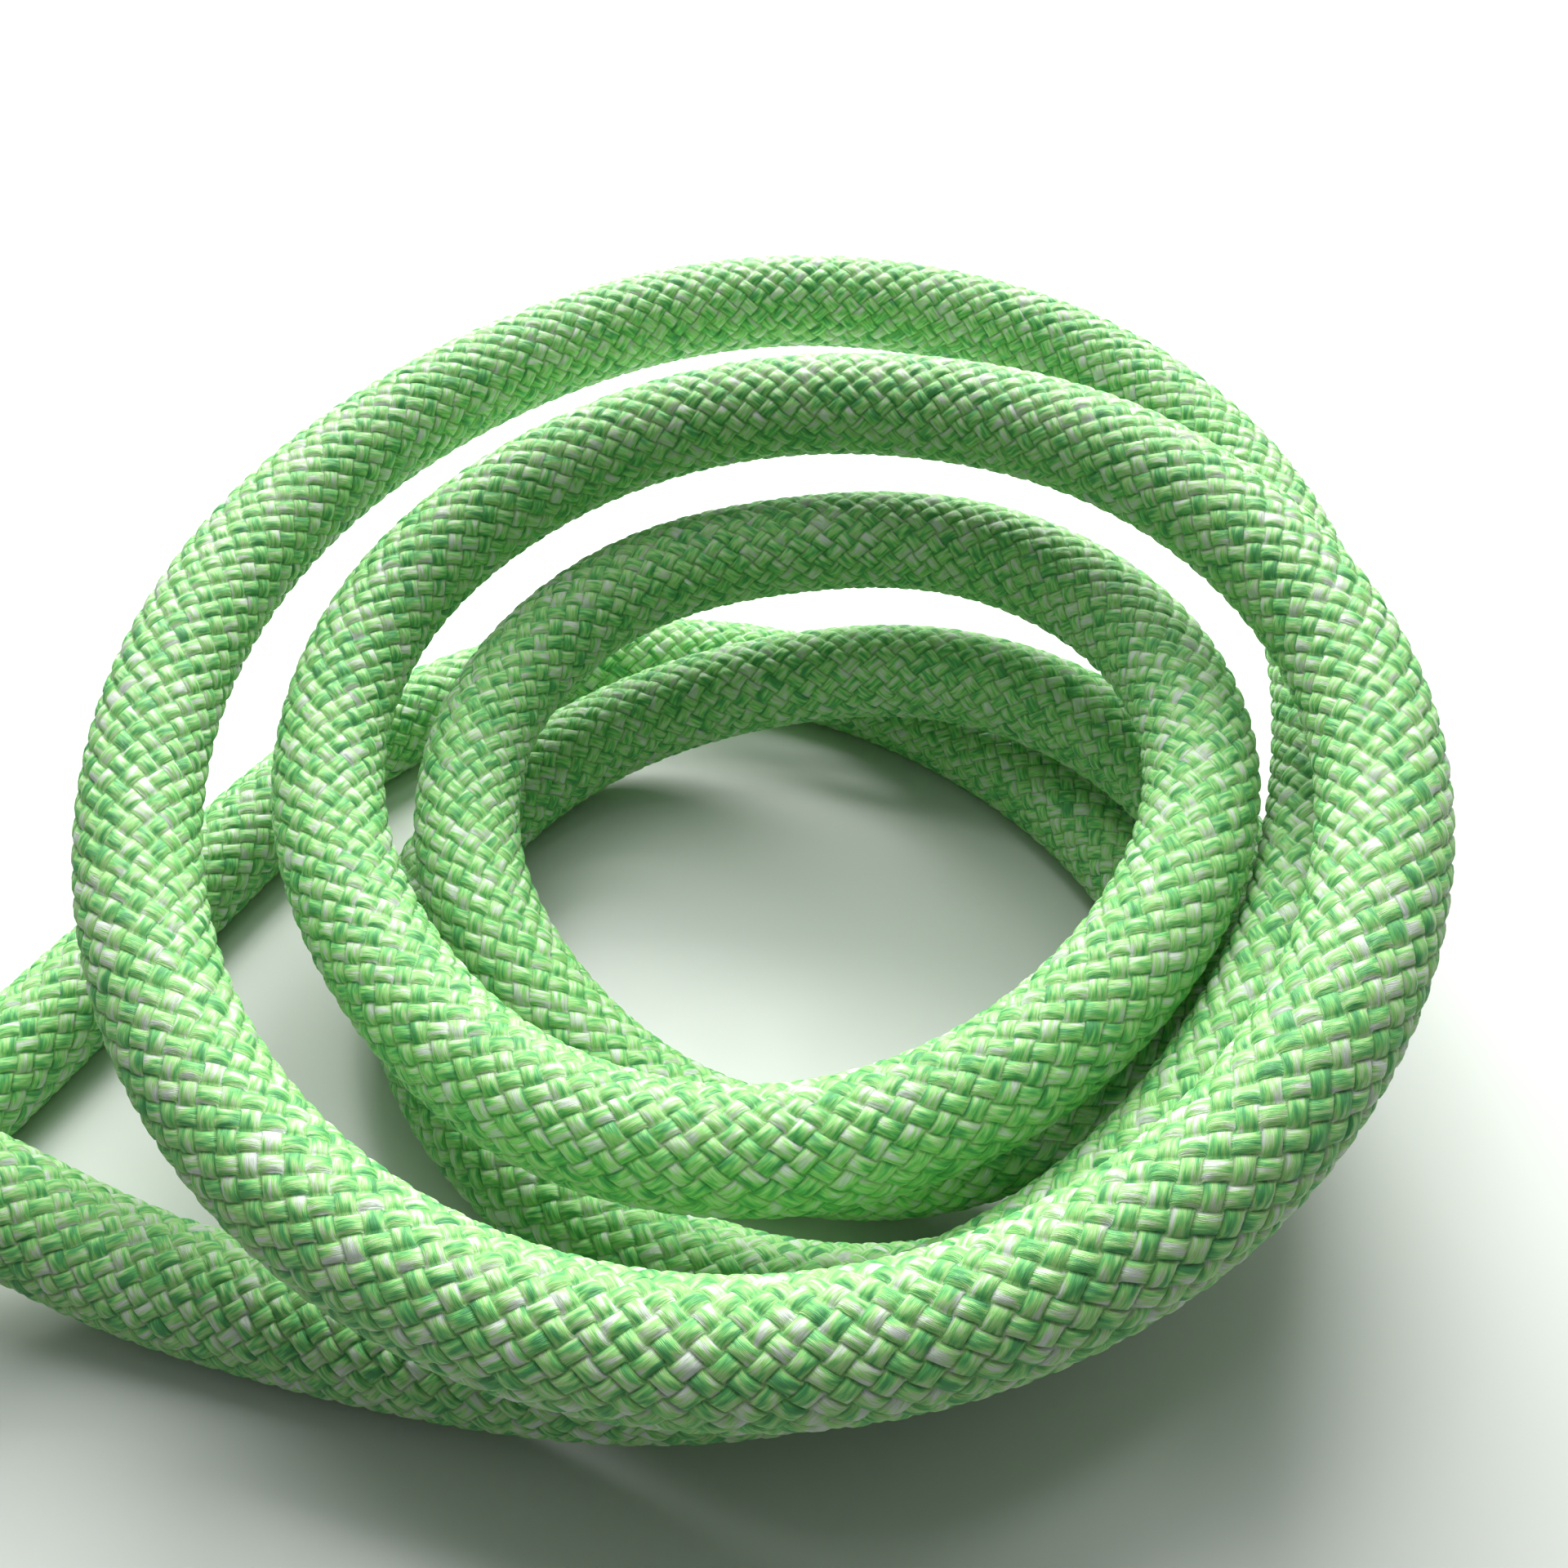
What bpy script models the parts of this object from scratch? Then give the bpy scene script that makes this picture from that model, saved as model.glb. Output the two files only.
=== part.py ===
"""Dynamic climbing rope, cut to a short length and lying in a small loose coil.

Both tails run off to the left. The upper tail ends in its sealed tip, and the lower one is wound into
a neat stored coil with a strap round it. The rope is a woven sheath over a core, so every stretch is a
hollow tube with the core inside it. Metres, +Z up, floor at z = 0,
origin on the floor under the middle of the whole part.
"""
import math

import bmesh
import bpy
import numpy as np
from mathutils import Vector

MM = 0.001

# The rope itself
ROPE_DIAMETER = 9.8 * MM
SHEATH_WALL = 1.5 * MM
CORE_CLEARANCE = 0.35 * MM
MEETING_GAP = 0.3 * MM
FLOOR_FLAT_SHARE = 0.1                 # of the diameter, pressed flat where the rope lies on the floor
POINTS_A_LOOP = 24
TAIL_POINT_SPACING = 1.2               # rope diameters
COIL_RING_STEPS = 1                    # bevel resolution, gives six sides
TAIL_RING_STEPS = 2                    # gives eight sides

# The loose coil as it lies in the photograph, drawn for a rope of this diameter
DRAWN_DIAMETER = 9.8 * MM
LOOSE_CENTRE = (87.8, -21.0)           # the coil's middle, millimetres from the part's origin
FIRST_STATION = 240                    # degrees anticlockwise from +X, at the front left
STATION_STEP = 30
# One row a turn: (radius, height) of the rope's middle at each station, millimetres
LOOSE_TURNS = (
    ((51.6, 6), (48, 11), (45.8, 15.8), (45, 22), (48, 25.5), (57.4, 30),
     (65.8, 35.5), (63.9, 39), (58.1, 38), (54.8, 35), (53.8, 30.8), (53.9, 25)),
    ((53.4, 21), (52.8, 21.2), (53.2, 29), (49.5, 35.5), (45, 39.6), (39.5, 42.6),
     (37.5, 42), (37.9, 40), (40.9, 35.3), (43.5, 28), (40.8, 22.2), (37, 18.7)),
    ((36, 18), (35.2, 18.4), (34.8, 21.4), (35, 25), (36.3, 27), (37, 28),
     (35.2, 28.3), (32.5, 27), (33.8, 23.4), (33, 18.2), (29.2, 13.8), (25.6, 9.5)),
    ((23.9, 5), (25.5, 4), (31.2, 7.4), (37.2, 13.8), (40.4, 14.3), (36.8, 14.4),
     (32, 14.2), (30, 11.5), (32.4, 7.2), (34.6, 4.5), (35.2, 4), (34.6, 4)),
    ((35.8, 4), (39.4, 4), (42.2, 4), (41.6, 4), (37.8, 4), (35, 4),
     (35.8, 4), (41, 4), (48.8, 4), (54.5, 4), (62, 4)),
)
# The tails, millimetres from the coil's middle: the lower one from the stored coil, over the upper one,
# to the loose coil
LOWER_TAIL = ((-156, -28, 4), (-134, -28, 4), (-113, -28.2, 4.2), (-98, -28.8, 7.5), (-87, -29.6, 12.5),
              (-78, -30.8, 14.5), (-70, -32.2, 13), (-62, -34, 9), (-53, -36.8, 5.5), (-43, -39.8, 4.5))
# The upper one from the loose coil to its sealed end
UPPER_TAIL = ((-66.5, -9, 4), (-71, -18.5, 4), (-76.3, -28, 4), (-83, -36.5, 4), (-93, -43.5, 4),
              (-106, -46.5, 4.4), (-120, -47, 5.7), (-136, -47, 5.8))

# The stored coil: turns spiral in on the floor, climb a layer, and spiral out again on top
STORED_RADIUS = 51.4 * MM                # at the middle of its turns
STORED_TURNS_BELOW = 2.1
STORED_TURNS = 4 + 2 / 3
TURN_CLEARANCE = 0.7 * MM
LAYER_CLEARANCE = 0.5 * MM
REVERSAL_SOFTNESS = 0.5                # radians over which the spiral turns back

# End fittings
SEAL_LENGTH = 4 * MM
SEAL_ROUNDING = 1.2 * MM
SLEEVE_LENGTH = 26 * MM
SLEEVE_WALL = 0.45 * MM
END_FLARE = 0.95 * MM                  # lifts the sleeved end clear of the turn beside and below it
END_FLARE_LENGTH = 45 * MM

# The strap round the stored coil
STRAP_ANGLE = math.radians(-30)
STRAP_WIDTH = 12 * MM
STRAP_THICKNESS = 1.2 * MM
STRAP_SIDE_CLEARANCE = 1.4 * MM
STRAP_OVERLAP = 0.2                    # share of the way round
STRAP_STEP = 0.07                      # share over which the free end steps up onto the first layer
STRAP_LAYER_GAP = 0.3 * MM
STRAP_SEGMENTS = 56
STRAP_LIFT_HALF_ANGLE = math.radians(42)

ROPE_RADIUS = ROPE_DIAMETER / 2
FLOOR_HEIGHT = ROPE_RADIUS - FLOOR_FLAT_SHARE * ROPE_DIAMETER
CORE_RADIUS = ROPE_RADIUS - SHEATH_WALL - CORE_CLEARANCE
SLEEVE_BORE = ROPE_RADIUS + CORE_CLEARANCE
SLEEVE_RADIUS = SLEEVE_BORE + SLEEVE_WALL
ROUTE_SCALE = MM * ROPE_DIAMETER / DRAWN_DIAMETER
TURN_PITCH = ROPE_DIAMETER + TURN_CLEARANCE
LAYER_PITCH = ROPE_DIAMETER + LAYER_CLEARANCE
STRAP_LIFT = STRAP_THICKNESS + MEETING_GAP + ROPE_RADIUS - FLOOR_HEIGHT


# ---- Lines ----

def smooth_step(value):
    """Rise from 0 to 1 with level ends."""
    value = min(max(value, 0.0), 1.0)
    return value * value * (3 - 2 * value)


def smooth_curve(knots, samples_a_span=16):
    """Natural cubic curve through the knots, sampled evenly between each pair."""
    knots = np.array(knots, float)
    spans = np.linalg.norm(np.diff(knots, axis=0), axis=1)
    slopes = np.diff(knots, axis=0) / spans[:, None]
    count = len(knots)
    matrix = np.eye(count)
    wanted = np.zeros((count, 3))
    for i in range(1, count - 1):
        matrix[i, i - 1:i + 2] = spans[i - 1], 2 * (spans[i - 1] + spans[i]), spans[i]
        wanted[i] = 6 * (slopes[i] - slopes[i - 1])
    bends = np.linalg.solve(matrix, wanted)
    curve = []
    for i, span in enumerate(spans):
        start = slopes[i] - span * (2 * bends[i] + bends[i + 1]) / 6
        for step in range(samples_a_span):
            x = span * step / samples_a_span
            cubic = (bends[i + 1] - bends[i]) * x ** 3 / (6 * span)
            curve.append(knots[i] + start * x + bends[i] * x * x / 2 + cubic)
    curve.append(knots[-1])
    return np.array(curve)


def run_lengths(line):
    """Length along the line at each of its points."""
    return np.concatenate(([0.0], np.cumsum(np.linalg.norm(np.diff(line, axis=0), axis=1))))


def read_line(line, keys, values):
    """Points of the line where its rising keys reach the given values."""
    return np.stack([np.interp(values, keys, line[:, axis]) for axis in range(3)], axis=1)


def square_ends(line, picked, start_gap, end_gap):
    """Give the picked points ends that run straight for one diameter and stop short by the gaps."""
    lengths = run_lengths(line)
    ends = []
    for joint, inside, gap in ((line[0], line[1], start_gap), (line[-1], line[-2], end_gap)):
        inward = (inside - joint) / np.linalg.norm(inside - joint)
        ends.append((joint + inward * gap, joint + inward * ROPE_DIAMETER))
    near = 1.4 * ROPE_DIAMETER
    inner = [point for point in picked
             if min(np.linalg.norm(point - line[0]), np.linalg.norm(point - line[-1])) > near]
    if lengths[-1] < 2 * near:
        inner = []
    return np.array([ends[0][0], ends[0][1], *inner, ends[1][1], ends[1][0]])


def loose_stations():
    """The loose coil's stations as points."""
    points = []
    for index, (radius, height) in enumerate(station for turn in LOOSE_TURNS for station in turn):
        angle = math.radians(FIRST_STATION + STATION_STEP * index)
        points.append((radius * math.cos(angle), radius * math.sin(angle), height))
    return points


def laid_route():
    """Middle line of the rope from the stored coil to the upper tail's end, cut at its two meetings."""
    stations = loose_stations()
    knots = (np.array([*LOWER_TAIL, *stations, *UPPER_TAIL]) + (*LOOSE_CENTRE, 0)) * ROUTE_SCALE
    samples = 16
    route = smooth_curve(knots, samples)
    route[:, 2] = np.maximum(route[:, 2], FLOOR_HEIGHT)
    first = (len(LOWER_TAIL) - 1) * samples
    last = (len(LOWER_TAIL) + len(stations) - 1) * samples
    return route[:first + 1], route[first:last + 1], route[last:]


def stored_route(entry):
    """Middle line of the stored coil, clockwise from its entry, where the rope arrives heading -X."""
    reversal = (STORED_TURNS_BELOW + 0.25) * math.tau
    climb_start = STORED_TURNS_BELOW * math.tau
    inmost = STORED_RADIUS - TURN_PITCH * (reversal / math.tau - STORED_TURNS_BELOW / 2)
    growth = TURN_PITCH / math.tau

    def radius_at(turned):
        return inmost + growth * math.hypot(turned - reversal, REVERSAL_SOFTNESS)

    centre = Vector((entry[0] - ROPE_DIAMETER, entry[1] + radius_at(0), 0))
    total = STORED_TURNS * math.tau
    steps = round(STORED_TURNS * POINTS_A_LOOP)
    points = [tuple(entry)]
    for step in range(steps + 1):
        turned = total * step / steps
        angle = -math.pi / 2 - turned
        radius = radius_at(turned)
        flare = END_FLARE * smooth_step(1 - (total - turned) * radius / END_FLARE_LENGTH)
        from_strap = math.remainder(angle - STRAP_ANGLE, math.tau)
        lift = STRAP_LIFT * smooth_step(1.5 * (1 - abs(from_strap) / STRAP_LIFT_HALF_ANGLE))
        height = FLOOR_HEIGHT + LAYER_PITCH * smooth_step((turned - climb_start) / math.pi)
        points.append((centre.x + (radius + flare) * math.cos(angle),
                       centre.y + (radius + flare) * math.sin(angle),
                       height + lift + flare))
    return np.array(points), centre, radius_at


def least_gap(line, radius):
    """Smallest air gap between two parts of one tube that aren't neighbours along it."""
    lengths = run_lengths(line)
    even = read_line(line, lengths, np.arange(0, lengths[-1], ROPE_DIAMETER / 8))
    step = ROPE_DIAMETER / 8
    apart = np.linalg.norm(even[:, None] - even[None], axis=2)
    rows, columns = np.indices(apart.shape)
    apart[abs(rows - columns) * step < 2.5 * ROPE_DIAMETER] = math.inf
    return apart.min() - 2 * radius


# ---- Solids ----

def material(name, colour, roughness):
    """Plain finish for one kind of piece."""
    finish = bpy.data.materials.new(name)
    finish.use_nodes = True
    surface = finish.node_tree.nodes["Principled BSDF"]
    surface.inputs["Base Color"].default_value = (*colour, 1)
    surface.inputs["Roughness"].default_value = roughness
    return finish


def tube(name, points, radius, bevel_resolution, collection):
    """Closed tube along the points, as a mesh."""
    curve = bpy.data.curves.new(name, "CURVE")
    curve.dimensions = "3D"
    curve.twist_mode = "Z_UP"
    curve.bevel_depth = radius
    curve.bevel_resolution = bevel_resolution
    curve.use_fill_caps = True
    spline = curve.splines.new("POLY")
    spline.points.add(len(points) - 1)
    for target, point in zip(spline.points, points):
        target.co = (*point, 1)
    drawn = bpy.data.objects.new(name, curve)
    collection.objects.link(drawn)
    bpy.context.view_layer.update()
    evaluated = drawn.evaluated_get(bpy.context.evaluated_depsgraph_get())
    mesh = bpy.data.meshes.new_from_object(evaluated)
    placed = drawn.matrix_world.copy()
    bpy.data.objects.remove(drawn)
    bpy.data.curves.remove(curve)
    welded = bmesh.new()
    welded.from_mesh(mesh)
    bmesh.ops.remove_doubles(welded, verts=welded.verts, dist=0.001 * MM)
    bmesh.ops.recalc_face_normals(welded, faces=welded.faces)
    welded.to_mesh(mesh)
    welded.free()
    mesh.name = name
    piece = bpy.data.objects.new(name, mesh)
    piece.matrix_world = placed
    collection.objects.link(piece)
    mesh.shade_smooth()
    mesh.set_sharp_from_angle(angle=math.radians(50))
    return piece


def move_to(piece, collection):
    """Take a new object out of the collection it was made in and put it in this one."""
    for home in list(piece.users_collection):
        home.objects.unlink(piece)
    collection.objects.link(piece)


def as_cutter(piece):
    """Keep a solid out of the model and use it only to cut."""
    move_to(piece, CUTTERS)
    piece.hide_render = True
    piece.display_type = "WIRE"
    return piece


def cut(piece, cutter):
    """Take the cutter away from the piece."""
    difference = piece.modifiers.new("cut_" + cutter.name, "BOOLEAN")
    difference.operation = "DIFFERENCE"
    difference.solver = "EXACT"
    difference.object = cutter


def floor_cutter():
    """Slab under the floor, which presses the soft rope flat."""
    side = 0.8
    bpy.ops.mesh.primitive_cube_add(size=1, location=(0, 0, -side / 4))
    slab = bpy.context.object
    slab.name = "floor_cutter"
    slab.scale = (side, side, side / 2)
    return as_cutter(slab)


def hollow_tube(name, points, radius, bore, bevel_resolution, finish):
    """Tube wall: the outer tube less a longer, thinner one, and flat where it touches the floor."""
    wall = tube(name, points, radius, bevel_resolution, PARTS)
    longer = np.array(points)
    for end, inside in ((0, 1), (-1, -2)):
        outward = longer[end] - longer[inside]
        longer[end] += outward / np.linalg.norm(outward) * ROPE_RADIUS
    cut(wall, as_cutter(tube(name + "_bore", longer, bore, bevel_resolution, CUTTERS)))
    cut(wall, FLOOR)
    wall.data.materials.append(finish)
    return wall


def rope_stretch(name, points, bevel_resolution):
    """One stretch of rope: its sheath and the core inside."""
    hollow_tube(name + "_sheath", points, ROPE_RADIUS, ROPE_RADIUS - SHEATH_WALL, bevel_resolution,
                SHEATH_FINISH)
    core = tube(name + "_core", points, CORE_RADIUS, bevel_resolution, PARTS)
    core.data.materials.append(CORE_FINISH)


def end_sleeve(name, rope_points, bevel_resolution):
    """Shrink sleeve over the last stretch before a sealed end, along the rope's own points."""
    lengths = run_lengths(rope_points)
    start = lengths[-1] - SLEEVE_LENGTH
    points = read_line(rope_points, lengths, [start, *lengths[lengths > start]])
    hollow_tube(name, points, SLEEVE_RADIUS, SLEEVE_BORE, bevel_resolution, SLEEVE_FINISH)


def end_seal(name, end, outward):
    """Melted tip that holds sheath and core together, a rounded puck on the end of the rope."""
    outward = Vector(outward).normalized()
    middle = Vector(end) + outward * (MEETING_GAP + SEAL_LENGTH / 2)
    bpy.ops.mesh.primitive_cylinder_add(vertices=20, radius=ROPE_RADIUS, depth=SEAL_LENGTH,
                                        location=middle)
    seal = bpy.context.object
    seal.name = name
    seal.rotation_mode = "QUATERNION"
    seal.rotation_quaternion = outward.to_track_quat("Z", "Y")
    rounding = seal.modifiers.new("melted_edge", "BEVEL")
    rounding.width = SEAL_ROUNDING
    rounding.segments = 2
    rounding.limit_method = "ANGLE"
    seal.data.shade_smooth()
    seal.data.materials.append(SEAL_FINISH)
    move_to(seal, PARTS)


def strap_outline(share, half_width, half_height, corner):
    """Point and outward normal on a rounded rectangle, a share of the way round from its top middle."""
    flat_x = 2 * (half_width - corner)
    flat_z = 2 * (half_height - corner)
    arc = corner * math.pi / 2
    along = (share % 1.0) * 2 * (flat_x + flat_z + 2 * arc)
    runs = ((flat_x / 2, "flat"), (arc, "arc"), (flat_z, "flat"), (arc, "arc"), (flat_x, "flat"),
            (arc, "arc"), (flat_z, "flat"), (arc, "arc"), (flat_x / 2, "flat"))
    point = Vector((0, half_height))
    heading = 0.0
    for length, kind in runs:
        part = min(along, length)
        if kind == "flat":
            point = point + Vector((math.cos(heading), math.sin(heading))) * part
        else:
            middle = point + Vector((math.sin(heading), -math.cos(heading))) * corner
            heading -= part / corner
            point = middle + Vector((-math.sin(heading), math.cos(heading))) * corner
        along -= part
        if along <= 0:
            break
    return point, Vector((-math.sin(heading), math.cos(heading)))


def storage_strap(centre, radius_at):
    """Woven strap closed round the stored coil, its free end lapped over the start."""
    reached = -math.pi / 2 - STRAP_ANGLE
    below = [radius_at(reached % math.tau + math.tau * turn) for turn in (0, 1)]
    above = [radius_at(reached % math.tau + math.tau * turn) for turn in (2, 3)]
    outer = max(below + above) + ROPE_RADIUS + STRAP_SIDE_CLEARANCE
    inner = min(below + above) - ROPE_RADIUS - STRAP_SIDE_CLEARANCE
    lowest = STRAP_THICKNESS
    highest = FLOOR_HEIGHT + STRAP_LIFT + LAYER_PITCH + ROPE_RADIUS + MEETING_GAP
    half_width = (outer - inner) / 2
    half_height = (highest - lowest) / 2
    radial = Vector((math.cos(STRAP_ANGLE), math.sin(STRAP_ANGLE), 0))
    tangent = Vector((-radial.y, radial.x, 0))
    middle = centre + radial * (outer + inner) / 2 + Vector((0, 0, (highest + lowest) / 2))
    strip = bmesh.new()
    edges = []
    for step in range(STRAP_SEGMENTS + 1):
        share = (1 + STRAP_OVERLAP) * step / STRAP_SEGMENTS
        point, normal = strap_outline(share, half_width, half_height, ROPE_RADIUS)
        raised = (STRAP_THICKNESS + STRAP_LAYER_GAP) * smooth_step((share - 1 + STRAP_STEP) / STRAP_STEP)
        point = point + normal * raised
        across = middle + radial * point.x + Vector((0, 0, point.y))
        edges.append([strip.verts.new(across + tangent * side * STRAP_WIDTH / 2) for side in (-1, 1)])
    for (left, right), (next_left, next_right) in zip(edges, edges[1:]):
        strip.faces.new((left, next_left, next_right, right))
    mesh = bpy.data.meshes.new("storage_strap")
    strip.to_mesh(mesh)
    strip.free()
    strap = bpy.data.objects.new("storage_strap", mesh)
    PARTS.objects.link(strap)
    thick = strap.modifiers.new("thickness", "SOLIDIFY")
    thick.thickness = STRAP_THICKNESS
    thick.offset = 1
    thick.use_even_offset = True
    mesh.materials.append(STRAP_FINISH)


# ---- Model ----

for old in list(bpy.data.objects):
    bpy.data.objects.remove(old)

PARTS = bpy.data.collections.new("climbing_rope")
CUTTERS = bpy.data.collections.new("cutters")
bpy.context.scene.collection.children.link(PARTS)
bpy.context.scene.collection.children.link(CUTTERS)
FLOOR = floor_cutter()

SHEATH_FINISH = material("green_melange_sheath", (0.30, 0.62, 0.30), 0.55)
CORE_FINISH = material("white_core", (0.86, 0.86, 0.82), 0.7)
SEAL_FINISH = material("melted_end", (0.16, 0.30, 0.15), 0.35)
SLEEVE_FINISH = material("clear_sleeve", (0.72, 0.76, 0.72), 0.25)
STRAP_FINISH = material("grey_strap", (0.20, 0.21, 0.22), 0.85)

lower_tail, loose_coil, upper_tail = laid_route()
stored_coil, stored_centre, stored_radius_at = stored_route(lower_tail[0])
half_gap = MEETING_GAP / 2

from_centre = loose_coil[:, :2] - np.array(LOOSE_CENTRE) * ROUTE_SCALE
winding = np.unwrap(np.arctan2(from_centre[:, 1], from_centre[:, 0]))
loop_angles = np.arange(winding[0], winding[-1], math.tau / POINTS_A_LOOP)
loose_points = square_ends(loose_coil, read_line(loose_coil, winding, loop_angles), half_gap, half_gap)
rope_stretch("loose_coil", loose_points, COIL_RING_STEPS)

stored_points = stored_coil.copy()
stored_points[0] += (stored_coil[1] - stored_coil[0]) / ROPE_DIAMETER * half_gap
rope_stretch("stored_coil", stored_points, COIL_RING_STEPS)

tail_points = {}
for name, line, end_gap in (("lower_tail", lower_tail, half_gap), ("upper_tail", upper_tail, 0)):
    lengths = run_lengths(line)
    spaced = read_line(line, lengths, np.arange(0, lengths[-1], TAIL_POINT_SPACING * ROPE_DIAMETER))
    tail_points[name] = square_ends(line, spaced, half_gap, end_gap)
    rope_stretch(name, tail_points[name], TAIL_RING_STEPS)

for name, points, bevel_resolution in (("tail_end", tail_points["upper_tail"], TAIL_RING_STEPS),
                                       ("stored_end", stored_points, COIL_RING_STEPS)):
    end_sleeve(name + "_sleeve", points, bevel_resolution)
    end_seal(name + "_seal", points[-1], points[-1] - points[-2])
storage_strap(stored_centre, stored_radius_at)

whole = sum(run_lengths(line)[-1] for line in (lower_tail, loose_coil, upper_tail, stored_coil))
print(f"rope length {whole:.3f} m")
print(f"least gap in the loose coil {least_gap(loose_coil, ROPE_RADIUS) / MM:.2f} mm")
print(f"least gap in the stored coil {least_gap(stored_coil, ROPE_RADIUS) / MM:.2f} mm")
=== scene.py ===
"""The climbing rope as it looks: a loose coil on a pale floor, its tails, and the spare length put away."""

import math

import bpy
import numpy as np
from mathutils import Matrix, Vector


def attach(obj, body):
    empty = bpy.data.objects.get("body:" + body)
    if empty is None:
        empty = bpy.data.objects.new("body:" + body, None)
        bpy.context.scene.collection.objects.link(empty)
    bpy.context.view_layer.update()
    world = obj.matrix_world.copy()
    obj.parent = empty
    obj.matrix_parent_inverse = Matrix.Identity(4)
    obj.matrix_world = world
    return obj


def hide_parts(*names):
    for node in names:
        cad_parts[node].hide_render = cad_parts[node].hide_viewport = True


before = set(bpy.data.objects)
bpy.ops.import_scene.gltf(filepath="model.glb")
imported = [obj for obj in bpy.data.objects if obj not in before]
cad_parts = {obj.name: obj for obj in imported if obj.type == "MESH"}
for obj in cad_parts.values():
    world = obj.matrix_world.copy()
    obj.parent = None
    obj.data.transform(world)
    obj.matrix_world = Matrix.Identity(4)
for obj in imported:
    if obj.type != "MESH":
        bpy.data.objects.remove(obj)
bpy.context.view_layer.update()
bpy.ops.object.select_all(action="DESELECT")

# ---- Camera ----
# It looks down along +Y at the loose coil, close to it, with the wide view of a pocket camera.
# The stored coil and both tail ends lie outside the left edge of its view.
VIEW_HEIGHT = 0.117
VIEW_BACK = 0.104
VIEW_DOWN = math.radians(42)
COIL_MIDDLE = Vector((0.0878, -0.021, 0))
SENSOR_WIDTH = 36                      # in mm, like the lens
LENS_LENGTH = 36.06
NEAREST_SEEN = 0.005

bpy.ops.object.camera_add(location=COIL_MIDDLE + Vector((0, -VIEW_BACK, VIEW_HEIGHT)),
                          rotation=(math.pi / 2 - VIEW_DOWN, 0, 0))
camera = bpy.context.object
camera.data.sensor_width = SENSOR_WIDTH
camera.data.lens = LENS_LENGTH
camera.data.clip_start = NEAREST_SEEN
bpy.context.scene.camera = camera

# ---- The rope's line ----
# One unbroken 3 m rope: from its end in the stored coil, along the lower tail, round the loose coil,
# and out along the upper tail. Every point here is the middle of the rope as it lies.
MM = 0.001
ROPE_DIAMETER = 9.8 * MM
ROPE_RADIUS = ROPE_DIAMETER / 2
FLATTENING = 0.1                       # of its diameter, how much the rope sinks where it lies
FLOOR_HEIGHT = ROPE_RADIUS - FLATTENING * ROPE_DIAMETER
FIRST_STATION = 240                    # degrees round the loose coil
STATION_STEP = 30                      # degrees from one station to the next
# The loose coil's turns, as radius and height in mm at each station, and the tails as points in mm, all
# measured from the middle of the coil on the floor
LOOSE_TURNS = (
    ((51.6, 6), (48, 11), (45.8, 15.8), (45, 22), (48, 25.5), (57.4, 30),
     (65.8, 35.5), (63.9, 39), (58.1, 38), (54.8, 35), (53.8, 30.8), (53.9, 25)),
    ((53.4, 21), (52.8, 21.2), (53.2, 29), (49.5, 35.5), (45, 39.6), (39.5, 42.6),
     (37.5, 42), (37.9, 40), (40.9, 35.3), (43.5, 28), (40.8, 22.2), (37, 18.7)),
    ((36, 18), (35.2, 18.4), (34.8, 21.4), (35, 25), (36.3, 27), (37, 28),
     (35.2, 28.3), (32.5, 27), (33.8, 23.4), (33, 18.2), (29.2, 13.8), (25.6, 9.5)),
    ((23.9, 5), (25.5, 4), (31.2, 7.4), (37.2, 13.8), (40.4, 14.3), (36.8, 14.4),
     (32, 14.2), (30, 11.5), (32.4, 7.2), (34.6, 4.5), (35.2, 4), (34.6, 4)),
    ((35.8, 4), (39.4, 4), (42.2, 4), (41.6, 4), (37.8, 4), (35, 4),
     (35.8, 4), (41, 4), (48.8, 4), (54.5, 4), (62, 4)),
)
LOWER_TAIL = ((-156, -28, 4), (-134, -28, 4), (-113, -28.2, 4.2), (-98, -28.8, 7.5), (-87, -29.6, 12.5),
              (-78, -30.8, 14.5), (-70, -32.2, 13), (-62, -34, 9), (-53, -36.8, 5.5), (-43, -39.8, 4.5))
UPPER_TAIL = ((-66.5, -9, 4), (-71, -18.5, 4), (-76.3, -28, 4), (-83, -36.5, 4), (-93, -43.5, 4),
              (-106, -46.5, 4.4), (-120, -47, 5.7), (-136, -47, 5.8))
SAMPLES_A_STATION = 30
STORED_RADIUS = 51.4 * MM
STORED_TURNS_BELOW = 2.1
CLIMB_TURNS = 0.5                      # turns in which it rises to the upper layer and its spiral reverses
STORED_TURNS = 4 + 2 / 3
POINTS_A_STORED_TURN = 24
SAMPLES_A_STORED_POINT = 12
TURN_PITCH = ROPE_DIAMETER + 0.7 * MM
LAYER_PITCH = ROPE_DIAMETER + 0.5 * MM
REVERSAL_SOFTNESS = 0.5
END_FLARE = 0.95 * MM
END_FLARE_LENGTH = 45 * MM
STRAP_ANGLE = math.radians(-30)
STRAP_LIFT = 1.5 * MM + ROPE_RADIUS - FLOOR_HEIGHT
STRAP_LIFT_HALF_ANGLE = math.radians(42)
STRAP_LIFT_STEEPNESS = 1.5


def smooth_step(value):
    """Rise from 0 to 1 with level ends."""
    value = min(max(value, 0.0), 1.0)
    return value * value * (3 - 2 * value)


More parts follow.
